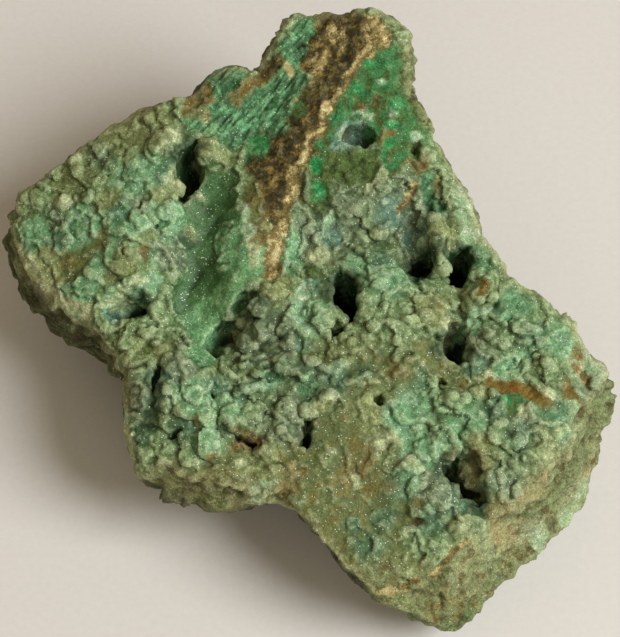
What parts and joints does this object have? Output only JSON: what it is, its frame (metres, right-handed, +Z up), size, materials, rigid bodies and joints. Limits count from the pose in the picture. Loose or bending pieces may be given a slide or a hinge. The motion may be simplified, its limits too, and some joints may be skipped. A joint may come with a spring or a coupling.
{
  "type": "garnierite specimen",
  "caption": "Broken block of green nickel rock with a knobbly chalcedony crust and open vugs on its upper face, resting on a flat break.",
  "frame": {"origin": "middle of the bounding box in X and Y, on the flat break that the block rests on", "axes": "+Z up out of the resting face, +Y towards the high peak at the back, +X towards the blunt right end"},
  "size_m": [0.1002, 0.0966, 0.0441],
  "materials": {
    "garnierite": "sparkling druse of fine quartz over knobbly grey-green to mint chalcedony, with granular emerald and olive patches, rust stains, a brown and black vein with a tan edge, and dull olive-brown broken flanks"
  },
  "bodies": {
    "root": {"garnierite_specimen": "garnierite"}
  },
  "joints": []
}
